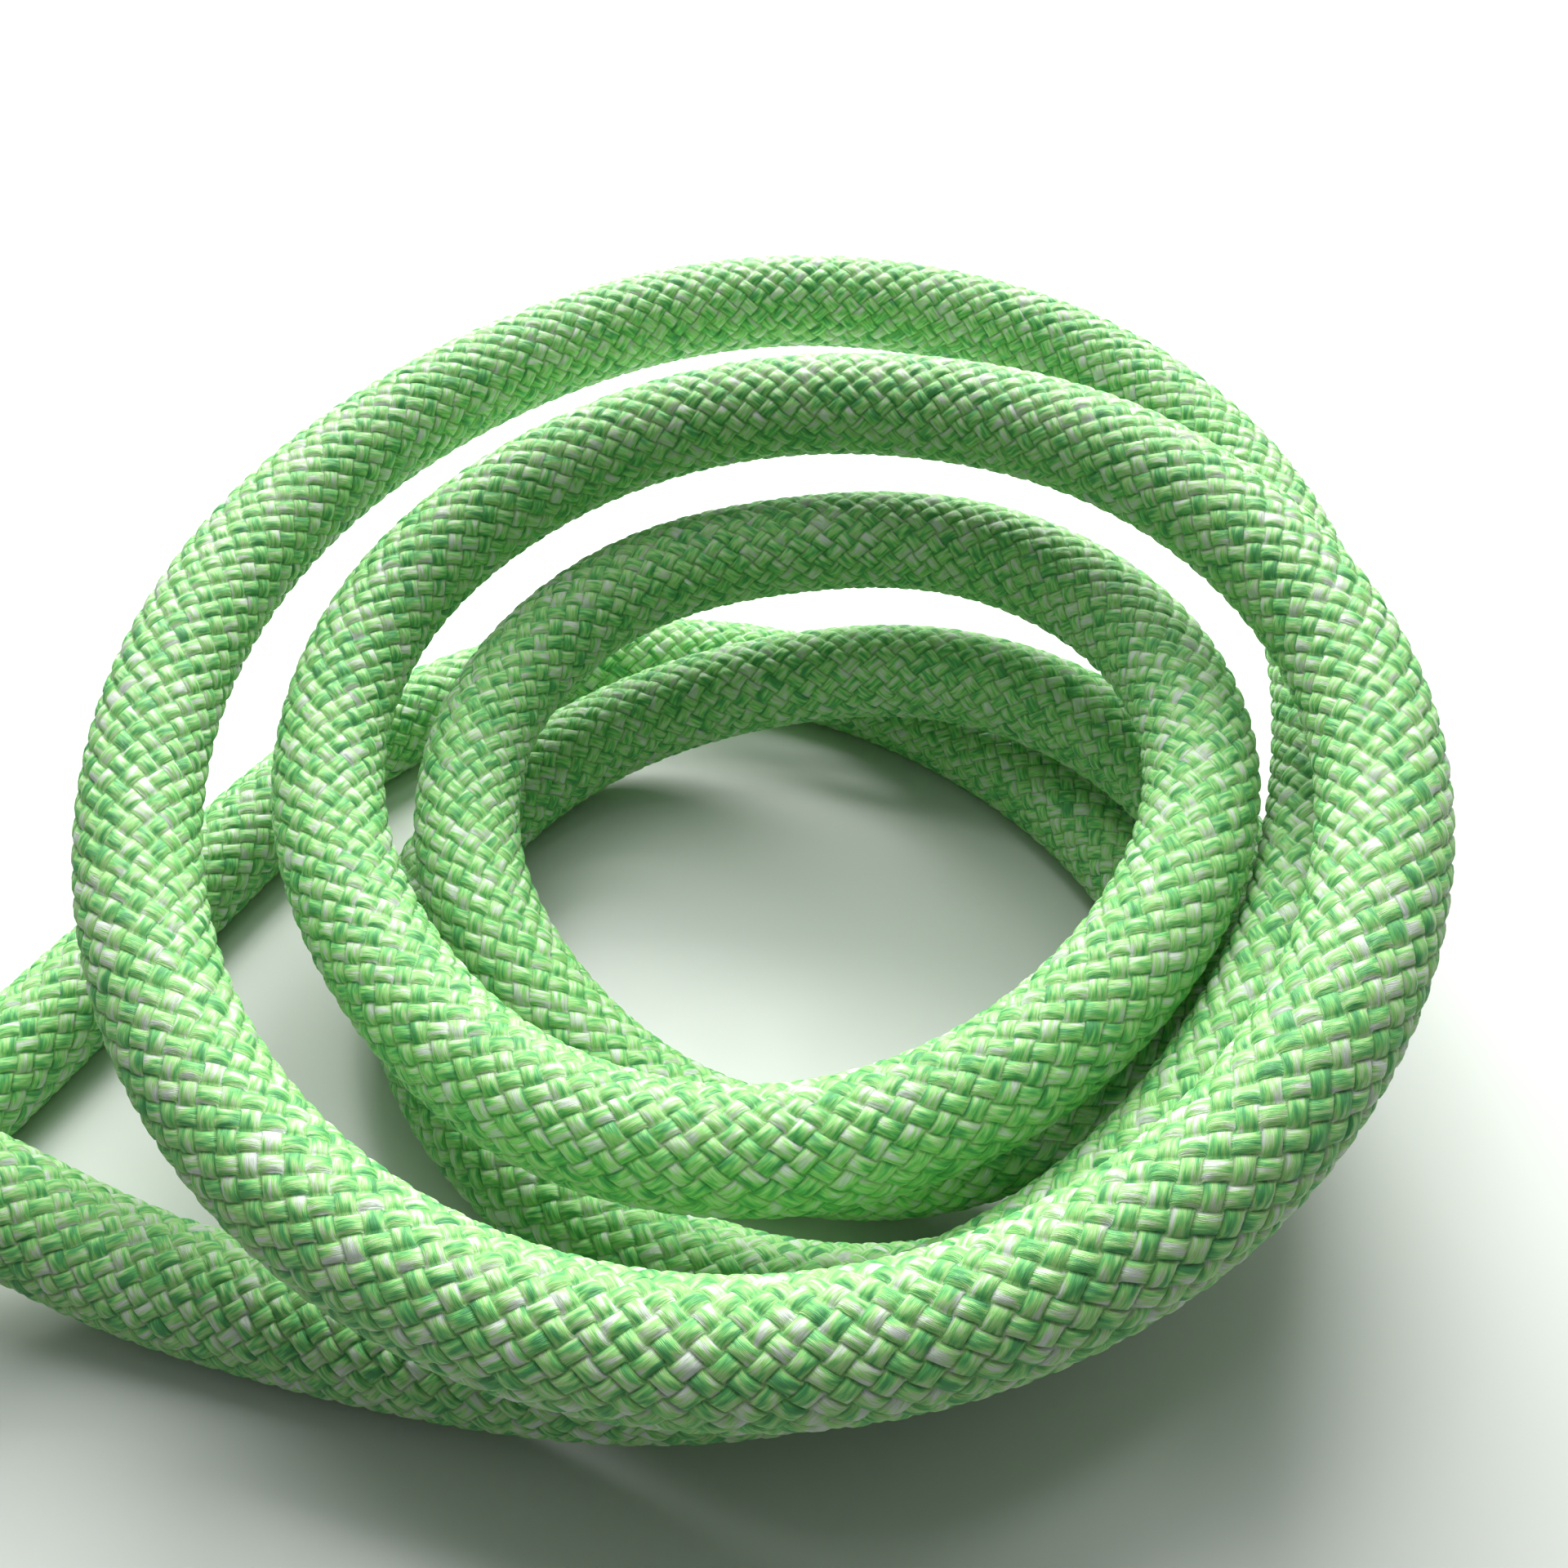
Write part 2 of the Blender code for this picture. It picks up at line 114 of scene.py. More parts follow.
def smooth_curve(knots, samples_a_span):
    """Natural cubic curve through the knots, sampled evenly between each pair."""
    knots = np.array(knots, float)
    spans = np.linalg.norm(np.diff(knots, axis=0), axis=1)
    slopes = np.diff(knots, axis=0) / spans[:, None]
    count = len(knots)
    matrix = np.eye(count)
    wanted = np.zeros((count, 3))
    for i in range(1, count - 1):
        matrix[i, i - 1:i + 2] = spans[i - 1], 2 * (spans[i - 1] + spans[i]), spans[i]
        wanted[i] = 6 * (slopes[i] - slopes[i - 1])
    bends = np.linalg.solve(matrix, wanted)
    curve = []
    for i, span in enumerate(spans):
        start = slopes[i] - span * (2 * bends[i] + bends[i + 1]) / 6
        for step in range(samples_a_span):
            x = span * step / samples_a_span
            cubic = (bends[i + 1] - bends[i]) * x ** 3 / (6 * span)
            curve.append(knots[i] + start * x + bends[i] * x * x / 2 + cubic)
    curve.append(knots[-1])
    return np.array(curve)


def run_lengths(line):
    """Length along the line at each of its points."""
    return np.concatenate(([0.0], np.cumsum(np.linalg.norm(np.diff(line, axis=0), axis=1))))


def stored_line(entry):
    """Middle of the rope in the stored coil: in along the floor, up a layer, and out again on top."""
    reversal = (STORED_TURNS_BELOW + CLIMB_TURNS / 2) * math.tau
    inmost = STORED_RADIUS - TURN_PITCH * (reversal / math.tau - STORED_TURNS_BELOW / 2)
    growth = TURN_PITCH / math.tau

    def radius_at(turned):
        return inmost + growth * math.hypot(turned - reversal, REVERSAL_SOFTNESS)

    middle = Vector((entry[0] - ROPE_DIAMETER, entry[1] + radius_at(0), 0))
    total = STORED_TURNS * math.tau
    points = [tuple(entry)]
    for turned in np.linspace(0, total, round(STORED_TURNS * POINTS_A_STORED_TURN) + 1):
        angle = -math.pi / 2 - turned
        radius = radius_at(turned)
        flare = END_FLARE * smooth_step(1 - (total - turned) * radius / END_FLARE_LENGTH)
        from_strap = math.remainder(angle - STRAP_ANGLE, math.tau)
        above_strap = STRAP_LIFT_STEEPNESS * (1 - abs(from_strap) / STRAP_LIFT_HALF_ANGLE)
        lift = STRAP_LIFT * smooth_step(above_strap)
        climbed = smooth_step((turned / math.tau - STORED_TURNS_BELOW) / CLIMB_TURNS)
        points.append((middle.x + (radius + flare) * math.cos(angle),
                       middle.y + (radius + flare) * math.sin(angle),
                       FLOOR_HEIGHT + LAYER_PITCH * climbed + lift + flare))
    return smooth_curve(points, SAMPLES_A_STORED_POINT), middle, radius_at


loose_knots = []
for index, (radius, height) in enumerate(station for turn in LOOSE_TURNS for station in turn):
    angle = math.radians(FIRST_STATION + STATION_STEP * index)
    loose_knots.append((radius * math.cos(angle), radius * math.sin(angle), height))
laid_knots = [*LOWER_TAIL, *loose_knots, *UPPER_TAIL]
laid = smooth_curve(laid_knots, SAMPLES_A_STATION) * MM + np.array(COIL_MIDDLE)
laid[:, 2] = np.maximum(laid[:, 2], FLOOR_HEIGHT)
stored, stored_middle, stored_radius_at = stored_line(laid[0])

rope_line = np.concatenate((stored[:0:-1], laid))
rope_run = run_lengths(rope_line)
ROPE_LENGTH = rope_run[-1]
stored_to_lower = run_lengths(stored)[-1]
loose_first = (len(LOWER_TAIL) - 1) * SAMPLES_A_STATION
loose_last = loose_first + len(loose_knots) * SAMPLES_A_STATION
lower_to_loose = stored_to_lower + run_lengths(laid)[loose_first]
loose_to_upper = stored_to_lower + run_lengths(laid)[loose_last]


def carried_frames(line):
    """Sideways and upward directions carried along the line without twist."""
    ahead = np.gradient(line, axis=0)
    ahead /= np.linalg.norm(ahead, axis=1)[:, None]
    side = np.cross(ahead[0], (0, 0, 1.0))
    sides = np.empty_like(line)
    for i, forward in enumerate(ahead):
        side = side - forward * side.dot(forward)
        side /= np.linalg.norm(side)
        sides[i] = side
    return sides, np.cross(sides, ahead)


rope_sides, rope_ups = carried_frames(rope_line)


def at_run(values, wanted):
    """Values kept along the rope's line, read at lengths along it."""
    return np.stack([np.interp(wanted, rope_run, values[:, axis]) for axis in range(3)], axis=-1)


# ---- Sheath of the rope ----
# A woven tube of nylon yarn over the core: 14 yarn bundles wound each way, each passing over one and
# under one, of fine mixed yarns in pale, yellow-green, green and teal.
BUNDLES = 14
FLOAT_PITCH = 0.25 * ROPE_DIAMETER     # along the rope, from one float to the next in its row
FLOAT_RELIEF = 0.034 * ROPE_DIAMETER
CREST_RADIUS = ROPE_RADIUS + 0.07 * MM
FLOAT_REACH = 0.075                    # of a float's width, how far its ends reach past its square
FLOAT_SQUARENESS = 8                   # how straight its edges are between its corners
SIDE_STEEPNESS = 3.6                   # how late its top falls away towards its sides
END_STEEPNESS = 2.8                    # and towards its ends
CROWDED_AT = (0, 0.11, 0.34, 0.66, 0.89, 1)    # mesh lines across a float, closer at its edges
YARN_MARGIN = 0.02                     # keeps the colours of two bundles apart
FLOOR_CLEARANCE = 0.03 * MM
STEPS_IN_VIEW = 5
STEPS_PUT_AWAY = 3
LOOSE_STRETCHES = 5
PATH_STEP = 2 * MM
FEWEST_PATH_POINTS = 12


def braided_sheath(name, first_row, last_row, steps):
    """Sheath between two rows of floats, as a mesh whose grid runs along the two ways of the yarn."""
    rows = np.arange(first_row, last_row)
    row, across = np.meshgrid(rows, np.arange(BUNDLES), indexing="ij")
    left = across.ravel()
    right = (row - across).ravel()
    edge = np.arange(steps + 1)
    crowd = np.interp(edge / steps, np.linspace(0, 1, len(CROWDED_AT)), CROWDED_AT)
    along_right = right[:, None, None] * steps + edge[None, :, None]
    along_left = left[:, None, None] * steps + edge[None, None, :]
    ring = along_right + along_left
    spoke = np.mod(along_right - along_left, 2 * BUNDLES * steps)
    keys = ring * (2 * BUNDLES * steps) + spoke
    first, corner = np.unique(keys, return_index=True, return_inverse=True)[1:]
    shape = keys.shape
    corner = corner.reshape(shape)

    over = (right + left) % 2 == 0
    a_in = np.broadcast_to(crowd[None, :, None], shape) * 2 - 1
    b_in = np.broadcast_to(crowd[None, None, :], shape) * 2 - 1
    # A float is longer than it is wide, and its ends stop at the sides of the floats beyond
    reach = np.where(over, FLOAT_REACH, -FLOAT_REACH)[:, None, None]
    a_place = right[:, None, None] + crowd[None, :, None] + reach * a_in * (1 - b_in ** FLOAT_SQUARENESS)
    b_place = left[:, None, None] + crowd[None, None, :] - reach * b_in * (1 - a_in ** FLOAT_SQUARENESS)
    length_in = np.where(over[:, None, None], a_in, b_in)
    width_in = np.where(over[:, None, None], b_in, a_in)
    across_top = np.sqrt(np.clip(1 - abs(width_in) ** SIDE_STEEPNESS, 0, 1))
    relief = across_top * (1 - abs(length_in) ** END_STEEPNESS)

    place = (a_place + b_place).ravel()[first] / 2
    turn = (a_place - b_place).ravel()[first] / 2 * math.tau / BUNDLES
    height = relief.ravel()[first]
    run = np.clip(place * FLOAT_PITCH, 0, ROPE_LENGTH)
    middle = at_run(rope_line, run)
    out = at_run(rope_sides, run) * np.cos(turn)[:, None] + at_run(rope_ups, run) * np.sin(turn)[:, None]
    radius = CREST_RADIUS - FLOAT_RELIEF * (1 - height)
    points = middle + out * radius[:, None]
    points[:, 2] = np.maximum(points[:, 2], FLOOR_CLEARANCE)

    def by_corner(values):
        return np.stack((values[:, :-1, :-1], values[:, 1:, :-1], values[:, 1:, 1:], values[:, :-1, 1:]),
                        axis=-1).ravel()

    quads = by_corner(corner)
    mesh = bpy.data.meshes.new(name)
    mesh.vertices.add(len(points))
    mesh.vertices.foreach_set("co", points.ravel())
    mesh.loops.add(quads.size)
    mesh.loops.foreach_set("vertex_index", quads)
    mesh.polygons.add(quads.size // 4)
    mesh.polygons.foreach_set("loop_start", np.arange(0, quads.size, 4))
    mesh.update(calc_edges=True)
    mesh.polygons.foreach_set("use_smooth", np.ones(quads.size // 4, bool))

    yarn = np.where(over, np.mod(left, BUNDLES), BUNDLES + np.mod(right, BUNDLES))[:, None, None]
    travelled = np.where(over[:, None, None], a_place + left[:, None, None], b_place + right[:, None, None])
    beside = yarn + YARN_MARGIN + (1 - 2 * YARN_MARGIN) * (width_in + 1) / 2
    yarns = mesh.uv_layers.new(name="yarns")
    yarns.data.foreach_set("uv", np.stack((by_corner(travelled), by_corner(beside)), axis=-1).ravel())
    # Height of the float at each point, which the material also uses to paint shade into the grooves
    crest = mesh.attributes.new("crest", "FLOAT", "POINT")
    crest.data.foreach_set("value", height.astype(np.float32))
    piece = bpy.data.objects.new(name, mesh)
    bpy.context.scene.collection.objects.link(piece)
    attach(piece, "root")
    return piece


def row_at(run):
    """Row of floats that starts at a length along the rope."""
    return round(2 * run / FLOAT_PITCH)


def declare_stretch(start, end):
    """Count the path points for a stretch of sheath between two lengths along the rope; the count is not
    kept.
    """
    count = max(int((end - start) / PATH_STEP), FEWEST_PATH_POINTS)


cuts = np.linspace(lower_to_loose, loose_to_upper, LOOSE_STRETCHES + 1)
stored_half = stored_to_lower / 2
stretches = [("stored_coil_top", 0, stored_half, STEPS_PUT_AWAY, "coiled"),
             ("stored_coil_below", stored_half, stored_to_lower, STEPS_PUT_AWAY, "coiled"),
             ("lower_tail", stored_to_lower, lower_to_loose, STEPS_IN_VIEW, "loose"),
             *((f"loose_coil_{i + 1}", cuts[i], cuts[i + 1], STEPS_IN_VIEW, "loose")
               for i in range(LOOSE_STRETCHES)),
             ("upper_tail", loose_to_upper, ROPE_LENGTH, STEPS_IN_VIEW, "loose")]
sheaths = {}
for name, start, end, steps, lay in stretches:
    sheaths[name] = braided_sheath("sheath_" + name, row_at(start), row_at(end), steps)
    if name not in ("stored_coil_top", "upper_tail"):
        declare_stretch(start, end)

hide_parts("stored_coil_sheath")
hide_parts("lower_tail_sheath")
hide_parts("upper_tail_sheath")
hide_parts("loose_coil_sheath")


class Signal:
    """A node's output that can be used in sums."""

    def __init__(self, tree, socket):
        self.tree = tree
        self.socket = socket

    def math(self, operation, other):
        return node(self.tree, "ShaderNodeMath", {"operation": operation}, (self, other))

    def __add__(self, other):
        return self.math("ADD", other)

    def __radd__(self, other):
        return self.math("ADD", other)

    def __mul__(self, other):
        return self.math("MULTIPLY", other)

    def __rmul__(self, other):
        return self.math("MULTIPLY", other)


def node(tree, kind, settings=None, inputs=(), output=0):
    """Add a node: settings first, then its sockets' values or links. Stops is a ramp's list of stops."""
    made = tree.nodes.new(kind)
    for key, value in (settings or {}).items():
        if key == "stops":
            ramp = made.color_ramp.elements
            while len(ramp) < len(value):
                ramp.new(1)
            for stop, (position, colour) in zip(ramp, value):
                stop.position = position
                stop.color = (*colour, 1)
        else:
            setattr(made, key, value)
    pairs = inputs.items() if isinstance(inputs, dict) else enumerate(inputs)
    for key, value in pairs:
        if isinstance(value, Signal):
            tree.links.new(value.socket, made.inputs[key])
        elif value is not None:
            made.inputs[key].default_value = value
    return Signal(tree, made.outputs[output])


def finish_material(name, constants):
    """New material whose surface shader has these fixed values."""
    made = bpy.data.materials.new(name)
    made.use_nodes = True
    surface = made.node_tree.nodes["Principled BSDF"]
    for key, value in constants.items():
        surface.inputs[key].default_value = value
    return made, made.node_tree, surface


def sheath_material():
    """Melange nylon: each yarn changes colour along its length, with fine filaments along it, and painted
    shade in the grooves between floats.
    """
    made, tree, surface = finish_material("green_melange_nylon", {
        "Sheen Weight": 0.12, "Sheen Roughness": 0.4, "Sheen Tint": (0.7, 1.0, 0.7, 1)})
    place = node(tree, "ShaderNodeUVMap", {"uv_map": "yarns"})
    travelled = node(tree, "ShaderNodeSeparateXYZ", None, (place,), 0)
    beside = node(tree, "ShaderNodeSeparateXYZ", None, (place,), 1)

    def drift(along, across, detail):
        key = node(tree, "ShaderNodeCombineXYZ", None, (travelled * along, beside * across, 0.0))
        return node(tree, "ShaderNodeTexNoise", {"noise_dimensions": "2D"},
                    {"Vector": key, "Scale": 1.0, "Detail": detail, "Roughness": 0.6})

    # A colour for the bundle, one for each yarn in it, and fine filaments along it
    bundle_tone = drift(0.50, 0.9, 1.0)
    yarn_tone = drift(0.8, 3.2, 1.0)
    lines = drift(1.6, 30.0, 2.0)
    mixed = bundle_tone * 0.42 + yarn_tone * 0.46 + lines * 0.12
    spread = node(tree, "ShaderNodeMapRange", {"clamp": True}, (mixed, 0.35, 0.64, 0.0, 1.0))
    colour = node(tree, "ShaderNodeValToRGB", {"stops": (
        (0.00, (0.075, 0.350, 0.115)),
        (0.20, (0.125, 0.490, 0.140)),
        (0.42, (0.235, 0.630, 0.185)),
        (0.58, (0.370, 0.720, 0.225)),
        (0.74, (0.480, 0.700, 0.380)),
        (1.00, (0.640, 0.720, 0.650)))}, {"Fac": spread})
    crest = node(tree, "ShaderNodeAttribute", {"attribute_name": "crest"}, (), 2)
    # Painted shade: the colour is darkened in the grooves between floats, most of all where a float tucks
    # under the next, and that shade is tinted faintly green; the fine filaments add streaks of their own tone
    depth = node(tree, "ShaderNodeMapRange", {"clamp": True}, (crest, 0.0, 0.4, 0.66, 1.0))
    streak = node(tree, "ShaderNodeMapRange", {"clamp": True}, (lines, 0.3, 0.7, 0.88, 1.08))
    groove_shade_and_streaks = depth * streak
    shaded = node(tree, "ShaderNodeMix", {"data_type": "RGBA", "blend_type": "MULTIPLY"},
                  {"Factor": 1.0, 6: colour, 7: node(tree, "ShaderNodeCombineColor", None,
                                                     (groove_shade_and_streaks, groove_shade_and_streaks * 0.95 + 0.05, groove_shade_and_streaks))}, 2)
    tree.links.new(shaded.socket, surface.inputs["Base Color"])
    gloss = node(tree, "ShaderNodeMapRange", {"clamp": True}, (lines, 0.3, 0.7, 0.6, 0.42))
    tree.links.new(gloss.socket, surface.inputs["Roughness"])
    relief = yarn_tone * 0.5 + lines * 0.6
    bump = node(tree, "ShaderNodeBump", None, {"Strength": 0.8, "Distance": 0.12 * MM, "Height": relief})
    tree.links.new(bump.socket, surface.inputs["Normal"])
    return made


green_sheath = sheath_material()
for piece in sheaths.values():
    piece.data.materials.append(green_sheath)

# ---- Core ----
# White twisted nylon cords that carry the load, packed inside the sheath for its whole length.


def core_material():
    """White nylon cords, seen only where the sheath is opened."""
    made, tree, surface = finish_material("white_core_nylon", {"Roughness": 0.6, "Sheen Weight": 0.2})
    place = node(tree, "ShaderNodeTexCoord", None, (), 3)
    strands = node(tree, "ShaderNodeTexWave", {"wave_type": "BANDS", "bands_direction": "DIAGONAL"},
                   {"Vector": place, "Scale": 320.0, "Distortion": 1.5, "Detail": 2.0})
    colour = node(tree, "ShaderNodeValToRGB", {"stops": (
        (0.0, (0.62, 0.62, 0.58)),
        (1.0, (0.88, 0.88, 0.85)))}, {"Fac": strands})
    tree.links.new(colour.socket, surface.inputs["Base Color"])
    bump = node(tree, "ShaderNodeBump", None, {"Strength": 0.6, "Distance": 0.2 * MM, "Height": strands})
    tree.links.new(bump.socket, surface.inputs["Normal"])
    return made


white_core = core_material()
for name in ("loose_coil_core", "lower_tail_core", "upper_tail_core", "stored_coil_core"):
    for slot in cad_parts[name].material_slots:
        slot.material = white_core

# ---- End seals ----
# Each end of the rope is cut hot, so that sheath and core melt together into one hard rounded tip.
# It is a hair thicker than the rope, 4.3 mm long, darker than the yarn, and a little lumpy.
SEAL_LENGTH = 4.3 * MM
SEAL_RADIUS = ROPE_RADIUS + 0.12 * MM
SEAL_SIDES = 24
SEAL_ROUNDING = 1.7 * MM
SEAL_INSET = 0.9 * MM
SEAL_TUCK = 0.5 * MM                   # how far it reaches back over the last of the yarn
SEAL_LUMPS = 0.45 * MM
SEAL_LUMP_SIZE = 2.6 * MM
SEAL_LUMP_LEVEL = 0.6                  # grey of the clouds that leaves the surface where it is


def end_seal(name, run, outward):
    """Melted tip on the end of the rope that lies at this length along it."""
    outward = Vector(outward).normalized()
    tip = Vector(at_run(rope_line, run)) + outward * SEAL_LENGTH
    middle = tip - outward * (SEAL_LENGTH + SEAL_TUCK) / 2
    bpy.ops.mesh.primitive_cylinder_add(vertices=SEAL_SIDES, radius=SEAL_RADIUS,
                                        depth=SEAL_LENGTH + SEAL_TUCK, location=middle,
                                        rotation=outward.to_track_quat("Z", "Y").to_euler())
    seal = bpy.context.object
    seal.name = name
    bpy.ops.object.transform_apply(location=True, rotation=True, scale=True)
    bpy.ops.object.mode_set(mode="EDIT")
    bpy.ops.mesh.select_mode(type="EDGE")
    bpy.ops.mesh.select_all(action="DESELECT")
    bpy.ops.object.mode_set(mode="OBJECT")
    for rim in seal.data.edges:
        one_end, other_end = [seal.data.vertices[k].co for k in rim.vertices]
        level = abs((one_end - other_end).dot(outward)) < 0.01 * MM
        rim.select = level and (one_end - middle).dot(outward) > 0
    bpy.ops.object.mode_set(mode="EDIT")
    bpy.ops.mesh.bevel(offset=SEAL_ROUNDING, segments=4, affect="EDGES")
    bpy.ops.mesh.select_mode(type="FACE")
    bpy.ops.mesh.select_all(action="DESELECT")
    bpy.ops.object.mode_set(mode="OBJECT")
    for face in seal.data.polygons:
        face.select = len(face.vertices) > 4
    bpy.ops.object.mode_set(mode="EDIT")
    bpy.ops.mesh.inset(thickness=SEAL_INSET)
    bpy.ops.mesh.inset(thickness=SEAL_INSET)
    bpy.ops.mesh.poke()
    bpy.ops.object.mode_set(mode="OBJECT")
    smooth = seal.modifiers.new("smooth", "SUBSURF")
    smooth.levels = smooth.render_levels = 1
    bpy.ops.object.modifier_apply(modifier=smooth.name)
    clouds = bpy.data.textures.new(name + "_lumps", "CLOUDS")
    clouds.noise_scale = SEAL_LUMP_SIZE
    lumps = seal.modifiers.new("lumps", "DISPLACE")
    lumps.texture = clouds
    lumps.texture_coords = "GLOBAL"
    lumps.strength = SEAL_LUMPS
    lumps.mid_level = SEAL_LUMP_LEVEL
    bpy.ops.object.modifier_apply(modifier=lumps.name)
    bpy.ops.object.shade_smooth()
    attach(seal, "root")
    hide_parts(name.replace("melted_", ""))
    seal.select_set(False)
    return seal


stored_end_out = rope_line[0] - rope_line[1]
tail_end_out = rope_line[-1] - rope_line[-2]
seals = {"stored": end_seal("melted_stored_end_seal", 0, stored_end_out),
         "tail": end_seal("melted_tail_end_seal", ROPE_LENGTH, tail_end_out)}


def seal_material():
    """Melted nylon: darker than the yarn, with soft lumps."""
    made, tree, surface = finish_material("melted_green_nylon", {"Coat Weight": 0.2, "Coat Roughness": 0.25})
    place = node(tree, "ShaderNodeTexCoord", None, (), 3)
    lumps = node(tree, "ShaderNodeTexNoise", None, {"Vector": place, "Scale": 420.0, "Detail": 4.0})
    colour = node(tree, "ShaderNodeValToRGB", {"stops": (
        (0.3, (0.05, 0.17, 0.06)),
        (0.7, (0.16, 0.34, 0.15)))}, {"Fac": lumps})
    tree.links.new(colour.socket, surface.inputs["Base Color"])
    gloss = node(tree, "ShaderNodeMapRange", None, (lumps, 0.3, 0.7, 0.3, 0.55))
    tree.links.new(gloss.socket, surface.inputs["Roughness"])
    bump = node(tree, "ShaderNodeBump", None, {"Strength": 0.7, "Distance": 0.5 * MM, "Height": lumps})
    tree.links.new(bump.socket, surface.inputs["Normal"])
    return made


melted = seal_material()
for seal in seals.values():
    seal.data.materials.append(melted)

# ---- End sleeves ----
# A thin clear shrink sleeve grips the last 26 mm before each seal and keeps the sheath from creeping.
# It has shrunk onto the weave, so the floats show through it and as low bumps, and its lips are rolled.
SLEEVE_LENGTH = 26 * MM
SLEEVE_BORE = ROPE_RADIUS + 0.12 * MM
SLEEVE_WALL = 0.32 * MM
SLEEVE_LIP = 0.14 * MM
SLEEVE_LIP_SHARE = 0.06                # of half the sleeve's length
SLEEVE_BUMPS = 0.07 * MM
SLEEVE_AROUND = 6 * BUNDLES
SLEEVE_STATIONS = 70
SLEEVE_END_GAP = 0.1 * MM
LIP_ANGLE = math.radians(50)           # edges sharper than this stay crisp


def outward_faces(piece):
    """Smooth shading, with every face pointing out of the solid."""
    bpy.context.view_layer.objects.active = piece
    piece.select_set(True)
    bpy.ops.object.mode_set(mode="EDIT")
    bpy.ops.mesh.select_all(action="SELECT")
    bpy.ops.mesh.normals_make_consistent(inside=False)
    bpy.ops.object.mode_set(mode="OBJECT")
    bpy.ops.object.shade_smooth_by_angle(angle=LIP_ANGLE)
    piece.select_set(False)


def end_sleeve(name, far, near):
    """Tube of two skins round the rope between two lengths along it, closed at both lips."""
    runs = np.linspace(far, near, SLEEVE_STATIONS)
    share = abs(2 * (runs - far) / (near - far) - 1)
    turn = np.arange(SLEEVE_AROUND) * math.tau / SLEEVE_AROUND
    middle = at_run(rope_line, runs)[:, None]
    out = (at_run(rope_sides, runs)[:, None] * np.cos(turn)[None, :, None]
           + at_run(rope_ups, runs)[:, None] * np.sin(turn)[None, :, None])
    along, across = runs[:, None] / FLOAT_PITCH, turn[None] * BUNDLES / math.tau
    floats = (np.sin(math.pi * (along + across)) * np.sin(math.pi * (along - across))) ** 2
    lip = np.clip(1 - (1 - share) / SLEEVE_LIP_SHARE, 0, 1)[:, None]
    raised = SLEEVE_BUMPS * floats * (1 - lip) + SLEEVE_LIP * np.sin(math.pi * lip)
    outer = SLEEVE_BORE + SLEEVE_WALL + raised
    inner = np.full_like(outer, SLEEVE_BORE)
    rings = np.concatenate((middle + out * outer[..., None], (middle + out * inner[..., None])[::-1]))
    rings[..., 2] = np.maximum(rings[..., 2], FLOOR_CLEARANCE)
    count = len(rings)
    ring, spot = np.meshgrid(np.arange(count), np.arange(SLEEVE_AROUND), indexing="ij")
    next_ring, next_spot = (ring + 1) % count, (spot + 1) % SLEEVE_AROUND
    quads = np.stack((ring * SLEEVE_AROUND + spot, ring * SLEEVE_AROUND + next_spot,
                      next_ring * SLEEVE_AROUND + next_spot, next_ring * SLEEVE_AROUND + spot), axis=-1)
    mesh = bpy.data.meshes.new(name)
    mesh.from_pydata(rings.reshape(-1, 3).tolist(), [], quads.reshape(-1, 4).tolist())
    sleeve = bpy.data.objects.new(name, mesh)
    bpy.context.scene.collection.objects.link(sleeve)
    outward_faces(sleeve)
    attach(sleeve, "root")
    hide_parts(name.replace("shrunk_", ""))
    return sleeve


sleeves = {"stored": end_sleeve("shrunk_stored_end_sleeve", SLEEVE_LENGTH, SLEEVE_END_GAP),
           "tail": end_sleeve("shrunk_tail_end_sleeve", ROPE_LENGTH - SLEEVE_LENGTH,
                              ROPE_LENGTH - SLEEVE_END_GAP)}
declare_stretch(0, stored_half)
declare_stretch(loose_to_upper, ROPE_LENGTH)


def sleeve_material():
    """Thin clear shrink sleeve, milky, with faint wrinkles."""
    made, tree, surface = finish_material("milky_clear_sleeve", {
        "Coat Weight": 0.4, "Coat Roughness": 0.15, "Alpha": 0.42})
    place = node(tree, "ShaderNodeTexCoord", None, (), 3)
    wrinkles = node(tree, "ShaderNodeTexNoise", None, {"Vector": place, "Scale": 260.0, "Detail": 3.0})
    colour = node(tree, "ShaderNodeValToRGB", {"stops": (
        (0.3, (0.55, 0.62, 0.55)),
        (0.7, (0.72, 0.77, 0.72)))}, {"Fac": wrinkles})
    tree.links.new(colour.socket, surface.inputs["Base Color"])
    gloss = node(tree, "ShaderNodeMapRange", None, (wrinkles, 0.3, 0.7, 0.22, 0.4))
    tree.links.new(gloss.socket, surface.inputs["Roughness"])
    bump = node(tree, "ShaderNodeBump", None, {"Strength": 0.35, "Distance": 0.3 * MM, "Height": wrinkles})
    tree.links.new(bump.socket, surface.inputs["Normal"])
    return made


milky = sleeve_material()
for sleeve in sleeves.values():
    sleeve.data.materials.append(milky)

# ---- Strap ----
# A grey hook-and-loop strap, woven with a looped face, goes once round the stored coil. Its rounded free
# end is pressed onto its own back, which alone holds it.
STRAP_WIDTH = 12 * MM
STRAP_THICKNESS = 1.2 * MM
STRAP_SIDE_CLEARANCE = 1.4 * MM
STRAP_OVERLAP = 0.2                    # share of the way round
STRAP_STEP = 0.07                      # share over which the free end steps up onto the first layer
STRAP_LAYER_GAP = 0.12 * MM
STRAP_STATIONS = 200
STRAP_TIP = 6 * MM                     # length of the rounded free end
STRAP_TIP_SQUARE = 0.12                # of its width, what is left straight at the tip
STRAP_EDGE = 0.4 * MM                  # size of the rounding, which takes these shares of it
STRAP_EDGE_DROP = 0.55                 # off the thickness, and
STRAP_EDGE_INSET = 0.35                # off the width
STRAP_ACROSS = 9
STRAP_HEADROOM = 0.3 * MM


